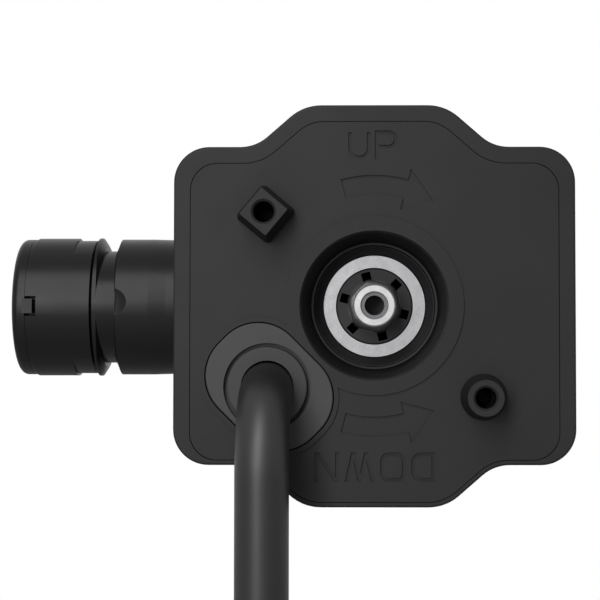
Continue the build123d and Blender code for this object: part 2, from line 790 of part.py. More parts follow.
core_rear_x = magnet_rear_x + 3
core_front_x = magnet_front_x - 2
core_r = 5.5
stem_width = 2.2
pole_count = 3
with BuildPart() as armature_core:
    with BuildSketch(side_plane(core_rear_x)):
        Circle(1.9)
        with BuildSketch(mode=Mode.PRIVATE) as shoes:
            Circle(core_r)
            Circle(core_r - 1.1, mode=Mode.SUBTRACT)
            with PolarLocations(0, pole_count, start_angle=60):
                Rectangle(20, 1.6, align=(Align.MIN, Align.CENTER), mode=Mode.SUBTRACT)
        add(shoes.sketch)
        with PolarLocations(0, pole_count):
            Rectangle(core_r - 0.5, stem_width, align=(Align.MIN, Align.CENTER))
        Circle(shaft_r + seat_gap, mode=Mode.SUBTRACT)
    extrude(amount=core_front_x - core_rear_x)
finish(armature_core, "armature_core")

coil_bulge = 1.6
coil_middle_r = 2.85
coil_depth = 1.7
coil_width = 4.2
with BuildPart() as armature_windings:
    with BuildSketch(side_plane(core_rear_x - coil_bulge)):
        with PolarLocations(coil_middle_r, pole_count):
            Rectangle(coil_depth, coil_width)
    extrude(amount=core_front_x - core_rear_x + 2 * coil_bulge)
    with BuildSketch(side_plane(core_rear_x - 0.05)):
        with PolarLocations(coil_middle_r, pole_count):
            Rectangle(coil_depth + 0.2, stem_width + 0.1)
    extrude(amount=core_front_x - core_rear_x + 0.1, mode=Mode.SUBTRACT)
finish(armature_windings, "armature_windings")

with BuildPart() as commutator:
    with BuildSketch(side_plane(commutator_rear_x)):
        Circle(commutator_r)
        with PolarLocations(0, pole_count, start_angle=60):
            with Locations((commutator_r, 0)):
                Rectangle(0.8, 0.3, mode=Mode.SUBTRACT)
        Circle(shaft_r + seat_gap, mode=Mode.SUBTRACT)
    extrude(amount=commutator_front_x - commutator_rear_x)
finish(commutator, "commutator")

addendum = 0.9 * planet_module
dedendum = 1.2 * planet_module
with BuildPart() as sun_gear:
    with BuildSketch(side_plane(sun_rear_x)):
        gear_face(planet_module, sun_teeth, sun_pitch_r + addendum, sun_pitch_r - dedendum, tooth_backlash)
        Circle(shaft_r + seat_gap, mode=Mode.SUBTRACT)
    extrude(amount=sun_front_x - sun_rear_x)
finish(sun_gear, "sun_gear")

encoder_r = 3.0
with BuildPart() as encoder_magnet:
    with BuildSketch(side_plane(shaft_rear_x)):
        Circle(encoder_r)
        Circle(shaft_r + seat_gap, mode=Mode.SUBTRACT)
    extrude(amount=1.2)
    with BuildSketch(side_plane(shaft_rear_x)):
        Circle(encoder_r)
    extrude(amount=-0.6)
finish(encoder_magnet, "encoder_magnet")

sensor_board_x = cap_floor_x + 0.05
with BuildPart() as sensor_board:
    with BuildSketch(side_plane(sensor_board_x)):
        Circle(cap_pocket_r - 0.2)
    extrude(amount=0.5)
    with BuildSketch(side_plane(sensor_board_x + 0.5)):
        with Locations((4.6, 0)):
            Rectangle(1.6, 2.4)
    extrude(amount=0.6)
finish(sensor_board, "sensor_board")

# Planet stage: ring gear, planets on pins, carrier with the drive pinion
gearbox_rear_x = flange_front_x
ring_rear_x = gearbox_rear_x + 1.0
carrier_x = planet_x + planet_width + 0.25
carrier_thickness = 1.3
ring_front_x = carrier_x + carrier_thickness + 0.2
plate_thickness = 2.4
carrier_shaft_r = 2.0
pinion_rear_x = -(crown_pitch_r + crown_face / 2)
gear_spots = [(ear_y, ear_z), (ear_y, -ear_z)]


def gearbox_outline(bore):
    """Draw the gearbox's round outline with its two screw ears and a bore."""
    Circle(ring_body_r)
    with Locations(*gear_spots):
        Circle(ear_r)
    for spot in gear_spots:
        with BuildLine() as web:
            Line((ear_y * 0.8, spot[1] * 0.6), spot)
        trace(web.edges(), line_width=3.4)
    Circle(bore, mode=Mode.SUBTRACT)
    with Locations(*gear_spots):
        Circle(gear_screw_r + 0.05, mode=Mode.SUBTRACT)


with BuildPart() as gearbox_plate:
    with BuildSketch(side_plane(gearbox_rear_x + 0.02)):
        gearbox_outline(2.6)
    extrude(amount=ring_rear_x - gearbox_rear_x - 0.04)
finish(gearbox_plate, "gearbox_plate")

with BuildPart() as ring_gear:
    with BuildSketch(side_plane(ring_rear_x)):
        gearbox_outline(1.0)
        with BuildSketch(mode=Mode.PRIVATE) as gaps:
            gear_face(planet_module, ring_teeth, ring_pitch_r + dedendum, ring_pitch_r - addendum,
                      -tooth_backlash, turn=180 / ring_teeth)
        add(gaps.sketch, mode=Mode.SUBTRACT)
    extrude(amount=ring_front_x - ring_rear_x)
finish(ring_gear, "ring_gear")

bush_r = 3.4
with BuildPart() as gearbox_front_plate:
    with BuildSketch(side_plane(ring_front_x + 0.02)):
        gearbox_outline(bush_r + seat_gap)
    extrude(amount=plate_thickness)
finish(gearbox_front_plate, "gearbox_front_plate")

with BuildPart() as carrier_bush:
    with BuildSketch(side_plane(ring_front_x + 0.02)):
        Circle(bush_r)
        Circle(carrier_shaft_r + running_gap, mode=Mode.SUBTRACT)
    extrude(amount=plate_thickness)
finish(carrier_bush, "carrier_bush")

plate_front_x = ring_front_x + 0.02 + plate_thickness
with BuildPart() as gearbox_screws:
    with BuildSketch(side_plane(plate_front_x)):
        with Locations(*gear_spots):
            Circle(1.6)
    extrude(amount=1.0)
    with BuildSketch(side_plane(plate_front_x)):
        with Locations(*gear_spots):
            Circle(gear_screw_r)
    extrude(amount=-(plate_front_x - inner_wall_x - 0.3))
finish(gearbox_screws, "gearbox_screws")

planet_turns = [360 / planet_count * n for n in range(planet_count)]
for number, turn in enumerate(planet_turns, start=1):
    middle = (planet_orbit_r * cos(radians(turn)), planet_orbit_r * sin(radians(turn)))
    with BuildPart() as planet_gear:
        with BuildSketch(side_plane(planet_x)):
            with Locations(Location((*middle, 0), (0, 0, turn + 180 / planet_teeth))):
                with BuildSketch(mode=Mode.PRIVATE) as planet_outline:
                    gear_face(planet_module, planet_teeth, planet_pitch_r + addendum,
                              planet_pitch_r - dedendum, tooth_backlash)
                    Circle(pin_r + running_gap, mode=Mode.SUBTRACT)
                add(planet_outline.sketch)
        extrude(amount=planet_width)
    finish(planet_gear, f"planet_gear_{number}")

carrier_r = planet_orbit_r + 1.6
with BuildPart() as planet_carrier:
    with BuildSketch(side_plane(carrier_x)):
        Circle(carrier_r)
        with PolarLocations(planet_orbit_r, planet_count):
            Circle(pin_r + 0.02, mode=Mode.SUBTRACT)
    extrude(amount=carrier_thickness)
    with BuildSketch(side_plane(carrier_x + carrier_thickness)):
        Circle(carrier_shaft_r)
    extrude(amount=pinion_rear_x + crown_face + 0.5 - carrier_x - carrier_thickness)
finish(planet_carrier, "planet_carrier")

with BuildPart() as planet_pins:
    with BuildSketch(side_plane(planet_x - 0.15)):
        with PolarLocations(planet_orbit_r, planet_count):
            Circle(pin_r)
    extrude(amount=carrier_x + carrier_thickness - planet_x + 0.15)
finish(planet_pins, "planet_pins")

pinion_tip_r = pinion_pitch_r + 0.8 * pinion_module
pinion_root_r = pinion_pitch_r - 1.15 * pinion_module
with BuildPart() as drive_pinion:
    with BuildSketch(side_plane(pinion_rear_x)):
        gear_face(pinion_module, pinion_teeth, pinion_tip_r, pinion_root_r, tooth_backlash)
        Circle(carrier_shaft_r + 0.02, mode=Mode.SUBTRACT)
    extrude(amount=crown_face)
finish(drive_pinion, "drive_pinion")

# Hub: moulded core with six slots, steel ring, sleeve, screw insert and crown wheel
core_y = face_y + core_face_depth
ring_y = face_y + ring_face_depth
flange_y = ring_y + steel_ring_length
crown_seat_y = mesh_y - 1.9
crown_tooth_tip_y = mesh_y - 0.8 * pinion_module
crown_root_y = mesh_y + 1.15 * pinion_module
crown_back_y = crown_root_y + crown_web
journal_y = floor_y - hub_journal_length - 0.3
clip_y = crown_back_y + 0.9
clip_thickness = 0.8
boss_front_y = face_y - boss_proud
with BuildPart() as output_hub:
    with BuildSketch(Plane.XY):
        hub_turned((0, core_y), (steel_ring_bore_r - seat_gap, core_y),
                   (steel_ring_bore_r - seat_gap, flange_y),
                   (steel_ring_r - 0.05, flange_y), (steel_ring_r - 0.05, flange_y + 1.3),
                   (hub_shoulder_r, flange_y + 1.3), (hub_shoulder_r, crown_seat_y),
                   (hub_shaft_r, crown_seat_y), (hub_shaft_r, clip_y),
                   (hub_shaft_r - 0.5, clip_y), (hub_shaft_r - 0.5, clip_y + clip_thickness + 0.1),
                   (hub_shaft_r, clip_y + clip_thickness + 0.1), (hub_shaft_r, journal_y),
                   (hub_journal_r, journal_y), (hub_journal_r, floor_y - 0.3), (0, floor_y - 0.3))
    revolve(axis=Axis.Y)
    with BuildSketch(front_plane(core_y)):
        RegularPolygon(boss_base_flat, 6, major_radius=False, rotation=slot_turn)
        fillet(vertices(), boss_corner_r)
    with BuildSketch(front_plane(boss_front_y)):
        Circle(boss_tip_r)
    loft()
    with BuildSketch(front_plane(boss_front_y)):
        Circle(sleeve_r + seat_gap)
    extrude(amount=-sleeve_length, mode=Mode.SUBTRACT)
    with BuildSketch(front_plane(boss_front_y)):
        Circle(sleeve_bore_r)
    extrude(amount=-insert_length, mode=Mode.SUBTRACT)
    with BuildSketch(front_plane(core_y)):
        with PolarLocations(slot_radius, slot_count, start_angle=slot_turn):
            Rectangle(slot_length, slot_width)
    extrude(amount=-slot_depth, mode=Mode.SUBTRACT)
finish(output_hub, "output_hub")

with BuildPart() as hub_steel_ring:
    with BuildSketch(front_plane(ring_y)):
        Circle(steel_ring_r)
        Circle(steel_ring_bore_r, mode=Mode.SUBTRACT)
    extrude(amount=-steel_ring_length)
    chamfer(hub_steel_ring.faces().sort_by(Axis.Y)[0].edges(), 0.2)
    with BuildSketch(front_plane(ring_y)):
        Circle(steel_ring_groove_r)
        Circle(steel_ring_groove_r - steel_ring_groove_width, mode=Mode.SUBTRACT)
    extrude(amount=-0.12, mode=Mode.SUBTRACT)
finish(hub_steel_ring, "hub_steel_ring")

with BuildPart() as hub_sleeve:
    with BuildSketch(front_plane(boss_front_y + 0.15)):
        Circle(sleeve_r)
        Circle(sleeve_bore_r + seat_gap, mode=Mode.SUBTRACT)
    extrude(amount=-(sleeve_length - 0.15))
finish(hub_sleeve, "hub_sleeve")

with BuildPart() as hub_screw_insert:
    with BuildSketch(front_plane(boss_front_y + 0.7)):
        Circle(sleeve_bore_r - seat_gap)
        Circle(insert_bore_r, mode=Mode.SUBTRACT)
    extrude(amount=-(insert_length - 0.7))
finish(hub_screw_insert, "hub_screw_insert")

tooth_slope = tan(radians(20))
crown_half_tooth = (pi * pinion_module - crown_backlash * 2) / 4
crown_half_foot = crown_half_tooth + (crown_root_y - mesh_y) * tooth_slope
crown_half_tip = crown_half_tooth - (mesh_y - crown_tooth_tip_y) * tooth_slope
with BuildPart() as crown_tooth:
    with BuildSketch(Plane.YZ.offset(crown_pitch_r - crown_face / 2)):
        with BuildLine():
            Polyline((crown_half_foot, -crown_root_y - 0.1), (crown_half_tip, -crown_tooth_tip_y),
                     (-crown_half_tip, -crown_tooth_tip_y), (-crown_half_foot, -crown_root_y - 0.1),
                     close=True)
        make_face()
    extrude(amount=crown_face)

crown_boss_r = hub_shoulder_r + 1.2
crown_rim_r = crown_pitch_r + crown_face / 2 + 0.3
with BuildPart() as crown_wheel:
    with BuildSketch(Plane.XY):
        hub_turned((hub_shaft_r + seat_gap, crown_seat_y + 0.05), (crown_boss_r, crown_seat_y + 0.05),
                   (crown_boss_r, crown_root_y), (crown_rim_r, crown_root_y), (crown_rim_r, crown_back_y),
                   (crown_boss_r, crown_back_y), (crown_boss_r, clip_y - 0.02),
                   (hub_shaft_r + seat_gap, clip_y - 0.02))
    revolve(axis=Axis.Y)
    with Locations(Plane.XZ):
        with PolarLocations(0, crown_teeth):
            add(crown_tooth.part)
finish(crown_wheel, "crown_wheel")

with BuildPart() as wheel_clip:
    with BuildSketch(front_plane(clip_y + 0.05)):
        Circle(hub_shoulder_r + 0.3)
        Circle(hub_shaft_r - 0.5 + seat_gap, mode=Mode.SUBTRACT)
        with Locations((0, -hub_shaft_r)):
            Rectangle(3.0, 6.0, mode=Mode.SUBTRACT)
    extrude(amount=-clip_thickness)
finish(wheel_clip, "wheel_clip")

bush_front_y = face_y + bush_seat_depth - 1.4
bush_back_y = face_y + bore_boss_depth
with BuildPart() as hub_front_bush:
    with BuildSketch(Plane.XY):
        hub_turned((steel_ring_r + running_gap, bush_front_y + 1.0), (bush_step_r - 0.2, bush_front_y),
                   (bush_step_r - running_gap, bush_front_y), (bush_step_r - running_gap, bush_back_y),
                   (steel_ring_r + running_gap, bush_back_y))
    revolve(axis=Axis.Y)
finish(hub_front_bush, "hub_front_bush")

with BuildPart() as hub_rear_bush:
    with BuildSketch(front_plane(floor_y - 0.05)):
        Circle(rear_bush_r - running_gap)
        Circle(hub_journal_r + running_gap, mode=Mode.SUBTRACT)
    extrude(amount=rear_bush_length - 0.1)
finish(hub_rear_bush, "hub_rear_bush")

# Circuit board behind the cover, with its parts, screws, terminals and leads
board_back_y = board_y + board_thickness
with BuildPart() as circuit_board:
    with BuildSketch(front_plane(board_y)):
        with Locations((board_x, board_z)):
            Rectangle(board_width, board_height)
        with Locations(*standoff_spots):
            Circle(1.0, mode=Mode.SUBTRACT)
    extrude(amount=-board_thickness)
finish(circuit_board, "circuit_board")

with BuildPart() as board_screws:
    with BuildSketch(front_plane(board_back_y)):
        with Locations(*standoff_spots):
            Circle(1.7)
    extrude(amount=-1.0)
    with BuildSketch(front_plane(board_back_y)):
        with Locations(*standoff_spots):
            Circle(0.85)
    extrude(amount=board_back_y - cover_back_y + 0.4)
finish(board_screws, "board_screws")

capacitor_r = 4.0
capacitor_height = 10.0
driver_width = 5.0
driver_height = 6.4
controller_side = 4.4
chip_thickness = 1.4
relay_width = 5.4
relay_height = 4.0
relay_thickness = 3.2
with BuildPart() as board_parts:
    with BuildSketch(front_plane(board_back_y)):
        with Locations((board_x + 2.4, board_z + 4.5)):
            Circle(capacitor_r)
    extrude(amount=-capacitor_height)
    with BuildSketch(front_plane(board_back_y)):
        with Locations((board_x - 3.4, board_z + 6.0)):
            Rectangle(driver_width, driver_height)
        with Locations((board_x + 3.4, board_z - 3.2)):
            Rectangle(controller_side, controller_side)
    extrude(amount=-chip_thickness)
    with BuildSketch(front_plane(board_back_y)):
        with Locations((board_x - 3.6, board_z - 0.4)):
            RectangleRounded(relay_width, relay_height, 0.6)
    extrude(amount=-relay_thickness)
finish(board_parts, "board_parts")

terminal_drop = 9.2
terminal_left_x = board_left_x + 0.6
terminal_z = board_z - terminal_drop
terminal_width = 8.0
terminal_height = 8.6
terminal_depth = 10.4
with BuildPart() as terminal_block:
    with BuildSketch(front_plane(board_back_y)):
        with Locations((terminal_left_x, terminal_z)):
            Rectangle(terminal_width, terminal_height, align=(Align.MIN, Align.CENTER))
        with Locations(standoff_spots[0]):
            Circle(2.0, mode=Mode.SUBTRACT)
    extrude(amount=-terminal_depth)
finish(terminal_block, "terminal_block")

wire_r = 0.7
wire_pitch = 1.6
cable_start_y = face_y + 6.0
with BuildPart() as supply_wires:
    for number in range(4):
        spread = wire_pitch * number
        z = outlet_z + 1.5 * wire_pitch - spread
        run_y = board_back_y + wire_r + 0.1
        low_z = -(bore_boss_r + wire_r + 0.4 + spread)
        end_z = terminal_z + wire_pitch - spread
        turn_x = terminal_left_x - 9.2 + spread * tan(pi / 8)
        with BuildLine() as route:
            FilletPolyline((outlet_x, cable_start_y, z), (outlet_x, run_y, z), (outlet_x + 6, run_y, low_z),
                           (turn_x, run_y, low_z), (turn_x + end_z - low_z, run_y, end_z),
                           (terminal_left_x, run_y, end_z), radius=[1.0, 1.6, 1.6, 1.6])
        with BuildSketch(front_plane(cable_start_y)):
            with Locations((outlet_x, z)):
                Circle(wire_r)
        sweep(path=route.wire())
finish(supply_wires, "supply_wires")

with BuildPart() as motor_leads:
    for side in (-1, 1):
        y = axle_y + side * 0.9
        run_y = axle_y - 1.2 + side * 0.9
        with BuildLine() as route:
            FilletPolyline((bell_x, y, -lead_orbit_r), (lead_bend_x, y, -lead_orbit_r),
                           (lead_bend_x, y, lead_drop_z), (terminal_left_x - 8, run_y, lead_drop_z),
                           (terminal_left_x - 3, run_y, terminal_z + 2),
                           (terminal_left_x, run_y, terminal_z + 2), radius=[0.9, 0.9, 3.0, 3.0])
        with BuildSketch(Plane(origin=(bell_x, y, -lead_orbit_r), x_dir=(0, 1, 0), z_dir=(1, 0, 0))):
            Circle(lead_r)
        sweep(path=route.wire())
finish(motor_leads, "motor_leads")

# Lead: out of the grommet, down, into a hanging coil of three turns, then down to its plug
hang_y = face_y - hang_offset
coil_top_z = view_bottom_z - coil_top_clear
coil_z = coil_top_z - coil_outer_r - cable_r
coil_x = outlet_x + coil_outer_r
lead_d = 2 * cable_r
pitch = lead_d + lead_layers_gap
tail = lead_d
bend_step = 11.6
route_points = [
    (outlet_x, cable_start_y, outlet_z),
    (outlet_x, hang_y + bend_step * sin(radians(45)), outlet_z),
    (outlet_x, hang_y, outlet_z - bend_step * sin(radians(45))),
    (outlet_x, hang_y, coil_z + tail),
]


def bend_radii(points):
    """Largest tangent arcs that the runs of a route allow, one for each corner."""
    radii = []
    for before, here, after in zip(points, points[1:], points[2:]):
        arriving = Vector(*here) - Vector(*before)
        leaving = Vector(*after) - Vector(*here)
        half_turn = radians(arriving.get_angle(leaving)) / 2
        radii.append(0.45 * min(arriving.length, leaving.length) / tan(half_turn))
    return radii


radii = bend_radii(route_points)
print("cable_run radii", [round(r, 2) for r in radii])
with BuildPart() as cable_run:
    with BuildLine() as run_path:
        FilletPolyline(*route_points, radius=radii)
    with BuildSketch(Plane(origin=route_points[0], x_dir=(1, 0, 0), z_dir=(0, -1, 0))):
        Circle(cable_r)
    sweep(path=run_path.wire())
run_length = run_path.wire().length
print("cable_run volume over section times length", cable_run.part.volume / (pi * cable_r ** 2 * run_length))
finish(cable_run, "cable_run")

turns_flat = coil_turns_in * 2 * pi
climb = pi
coil_sweep = 2 * turns_flat + climb


def coil_place(angle):
    """Point of the coil's centre line after turning by angle from its start at the left."""
    if angle < turns_flat:
        r = coil_outer_r - pitch * angle / (2 * pi)
        y = 0.0
    elif angle < turns_flat + climb:
        s = angle - turns_flat
        r = coil_outer_r - pitch * coil_turns_in - pitch / (2 * pi) * (s - s * s / pi)
        y = pitch * (1 - cos(s)) / 2
    else:
        r = coil_outer_r - pitch * (coil_sweep - angle) / (2 * pi)
        y = pitch
    return Vector(coil_x - r * cos(angle), hang_y + y, coil_z - r * sin(angle))


def coil_heading(angle):
    """Unit direction of the coil's centre line at an angle."""
    if angle <= 0 or angle >= coil_sweep:
        return Vector(0, 0, -1)
    step = 1e-4
    return (coil_place(angle + step) - coil_place(angle - step)).normalized()


def biarc(start, start_heading, end, end_heading):
    """Two arcs that join two points with given headings, drawn in the line at hand."""
    chord = end - start
    both = start_heading + end_heading
    spread = 2 * (1 - start_heading.dot(end_heading))
    along = chord.dot(both)
    reach = (-along + sqrt(along * along + spread * chord.dot(chord))) / spread
    first, second = start + start_heading * reach, end - end_heading * reach
    joint = (first + second) * 0.5
    heading = (second - first).normalized()
    TangentArc(start, joint, tangent=start_heading)
    TangentArc(joint, end, tangent=heading)


quarter_steps = round(coil_sweep / (pi / 2))
coil_angles = [coil_sweep * n / quarter_steps for n in range(quarter_steps + 1)]
with BuildPart() as cable_coil:
    with BuildLine() as coil_path:
        Line(coil_place(0) + Vector(0, 0, tail), coil_place(0))
        for here, there in zip(coil_angles, coil_angles[1:]):
            biarc(coil_place(here), coil_heading(here), coil_place(there), coil_heading(there))
        Line(coil_place(coil_sweep), coil_place(coil_sweep) - Vector(0, 0, tail))
    with BuildSketch(Plane(origin=coil_place(0) + Vector(0, 0, tail), x_dir=(1, 0, 0), z_dir=(0, 0, -1))):
        Circle(cable_r)
    sweep(path=coil_path.wire())
coil_length = coil_path.wire().length
coil_volume = pi * cable_r ** 2 * coil_length
print("cable_coil volume over section times length", cable_coil.part.volume / coil_volume)
finish(cable_coil, "cable_coil")

samples = [coil_path.wire().position_at(n / 600) for n in range(601)]
step_length = coil_length / 600
least = min((a - b).length for i, a in enumerate(samples) for j, b in enumerate(samples)
            if j - i > 3 * lead_d / step_length)
print("least gap of the coil to itself", round(least - lead_d, 3))

plug_x = outlet_x
plug_y = hang_y + pitch
plug_drop = 44.0
plug_top_z = coil_z - plug_drop
nut_length = 12.0
nut_flat = 8.6
nut_fillet_r = 1.0
nose_length = 12.0
nose_step = 2.0
socket_wall = 1.6
socket_depth = 13.0
rib_count = 16
rib_r = 0.7
rib_inset = 2.0
plug_pin_count = 4
plug_pin_orbit_r = 4.2
plug_pin_r = 1.2
plug_pin_inset = 5.0
with BuildPart() as cable_end:
    with BuildSketch(Plane(origin=(plug_x, plug_y, coil_z - tail), x_dir=(1, 0, 0), z_dir=(0, 0, -1))):
        Circle(cable_r)
    extrude(amount=coil_z - tail - plug_top_z)
finish(cable_end, "cable_end")
end_length = coil_z - tail - plug_top_z
print("lead length", round(run_length + coil_length + end_length, 1))

# Tie round the four strands at the left of the coil
tie_half = pitch / 2 + cable_r + 0.25
tie_outer = 2 * (tie_half + tie_thickness)
tie_head_width = 3.0
tie_head_depth = 5.0
tie_plane = Plane(origin=(outlet_x + pitch / 2, hang_y + pitch / 2, coil_z - tie_width / 2), z_dir=(0, 0, 1))
with BuildPart() as cable_tie:
    with BuildSketch(tie_plane):
        RectangleRounded(tie_outer, tie_outer, cable_r + tie_thickness)
        RectangleRounded(2 * tie_half, 2 * tie_half, cable_r, mode=Mode.SUBTRACT)
    extrude(amount=tie_width)
    with BuildSketch(tie_plane):
        with Locations((-tie_half - tie_thickness - 1.2, 0)):
            Rectangle(tie_head_width, tie_head_depth)
    extrude(amount=tie_width)
finish(cable_tie, "cable_tie")

# In-line plug: gland nut, body and pins
plug_section = Plane(origin=(plug_x, plug_y, plug_top_z), x_dir=(1, 0, 0), z_dir=(0, 0, -1))
with BuildPart() as plug_gland_nut:
    with BuildSketch(plug_section):
        RegularPolygon(nut_flat, 6, major_radius=False)
    extrude(amount=nut_length)
    fillet(plug_gland_nut.faces().sort_by(Axis.Z)[-1].edges(), nut_fillet_r)
finish(plug_gland_nut, "plug_gland_nut")

with BuildPart() as line_plug:
    with BuildSketch(plug_section.offset(nut_length)):
        Circle(plug_r)
    extrude(amount=plug_length - nut_length - nose_length)
    with BuildSketch(plug_section.offset(plug_length - nose_length)):
        Circle(plug_r - nose_step)
    extrude(amount=nose_length)
    with BuildSketch(plug_section.offset(plug_length)):
        Circle(plug_r - nose_step - socket_wall)
    extrude(amount=-socket_depth, mode=Mode.SUBTRACT)
    with BuildSketch(plug_section.offset(nut_length + rib_inset)):
        with PolarLocations(plug_r, rib_count):
            Circle(rib_r)
    extrude(amount=plug_length - nut_length - nose_length - 3 * rib_inset, mode=Mode.SUBTRACT)
finish(line_plug, "line_plug")

with BuildPart() as plug_pins:
    with BuildSketch(plug_section.offset(plug_length - socket_depth)):
        with PolarLocations(plug_pin_orbit_r, plug_pin_count, start_angle=45):
            Circle(plug_pin_r)
    extrude(amount=socket_depth - plug_pin_inset)
finish(plug_pins, "plug_pins")
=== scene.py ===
"""Looks of a venetian blind motor: an add-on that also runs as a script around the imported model."""
import math

import bmesh
import bpy
from bpy.props import FloatProperty, FloatVectorProperty, PointerProperty
from mathutils import Euler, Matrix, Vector


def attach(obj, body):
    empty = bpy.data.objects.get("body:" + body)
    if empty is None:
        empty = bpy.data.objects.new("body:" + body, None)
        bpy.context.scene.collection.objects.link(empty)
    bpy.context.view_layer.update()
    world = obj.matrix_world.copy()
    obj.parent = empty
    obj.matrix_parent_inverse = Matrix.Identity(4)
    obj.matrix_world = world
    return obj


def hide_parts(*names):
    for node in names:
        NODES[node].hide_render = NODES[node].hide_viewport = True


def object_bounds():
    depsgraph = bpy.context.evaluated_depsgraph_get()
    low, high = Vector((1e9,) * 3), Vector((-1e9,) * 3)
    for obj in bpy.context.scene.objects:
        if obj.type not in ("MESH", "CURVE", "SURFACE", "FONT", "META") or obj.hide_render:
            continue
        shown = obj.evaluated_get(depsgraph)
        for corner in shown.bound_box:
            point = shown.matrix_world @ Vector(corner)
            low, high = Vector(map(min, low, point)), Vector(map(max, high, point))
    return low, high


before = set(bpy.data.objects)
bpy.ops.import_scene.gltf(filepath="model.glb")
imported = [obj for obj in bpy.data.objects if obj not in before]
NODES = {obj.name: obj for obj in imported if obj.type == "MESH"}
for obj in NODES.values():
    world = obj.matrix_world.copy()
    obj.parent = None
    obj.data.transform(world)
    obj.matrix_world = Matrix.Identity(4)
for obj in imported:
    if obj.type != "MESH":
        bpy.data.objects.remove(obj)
CAD_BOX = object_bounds()

# Metres in a millimetre
MM = 0.001

bl_info = {
    "name": "Venetian Blind Motor",
    "version": (1, 0, 0),
    "blender": (4, 5, 0),
    "location": "View3D > Sidebar > Blind Motor",
    "description": "Dresses a venetian blind motor with its materials, lead, floor, light and camera",
    "category": "Object",
}

# Route of the lead, in millimetres
LEAD_R = 4.4
LEAD_X = -18.1
LEAD_START_Y = 13.0
LEAD_OUT_Z = -13.75
HANG_Y = -7.8
BEND_STEP = 8.202
HANG_STEP = 11.6
COIL_R = 50.0
COIL_X = LEAD_X + COIL_R
COIL_Z = -108.4
COIL_PITCH = 9.6
COIL_TURNS_IN = 1.25
COIL_STEP = math.radians(30)
PLUG_TOP_Z = -152.4

# Painted shade: depths behind the post tops, in millimetres, with the share of colour and shine left
# there; the cover darkens in its recesses and bore, and the hub core's slots go to black, where shade
# falls
COVER_PAINTED_SHADE = ((0.35, 1.0), (0.8, 0.55), (6.3, 0.55), (6.6, 1.0), (7.45, 1.0), (7.8, 0.4),
                (12.3, 0.25), (12.6, 1.0))
# Painted shade: the hub core's slots fade to black with depth
SLOT_PAINTED_SHADE = ((16.9, 1.0), (18.1, 0.0))

# Colours of the hub core's boss and rim, the radii in metres between which one turns into the other,
# and the radius where the ramp of colour ends; the boss's lighter colour is partly its paler surface
# and partly a painted highlight for the light that its cone catches
BOSS_TONE_AND_HIGHLIGHT = (0.085, 0.085, 0.088)
RIM_COLOUR = (0.02, 0.02, 0.021)
BOSS_EDGE = (0.0042, 0.0047)
BOSS_SPAN = 0.01

# A point of the motor's axis, in metres
MOTOR_AXIS = (0, 0.024, 0)

# Camera of the photograph: focal length in pixels of its 600 px frame, place in millimetres
PHOTO_SIZE = 600
PHOTO_FOCUS = 1800
PHOTO_CAMERA = (-0.41, -297.0, -5.0)
AXIS_PIXEL = (353, 260)
DEPTH_PIXEL = (372, 335)
SENSOR_WIDTH = 36

# Floor and lamps, in metres: a tall soft box high in front and a strip lower at the left
FLOOR_HALF = 0.95
FLOOR_GAP = 0.001
KEY_PLACE = (-0.152, -0.498, 0.33)
KEY_SIZE = (0.23, 0.6)
SIDE_PLACE = (-0.225, -0.6, 0.02)
SIDE_SIZE = (0.12, 0.26)
LAMP_TARGET = (0, 0.01, 0)


def settings(context):
    """Sizes and colours of the motor's looks."""
    return context.scene.blind_motor


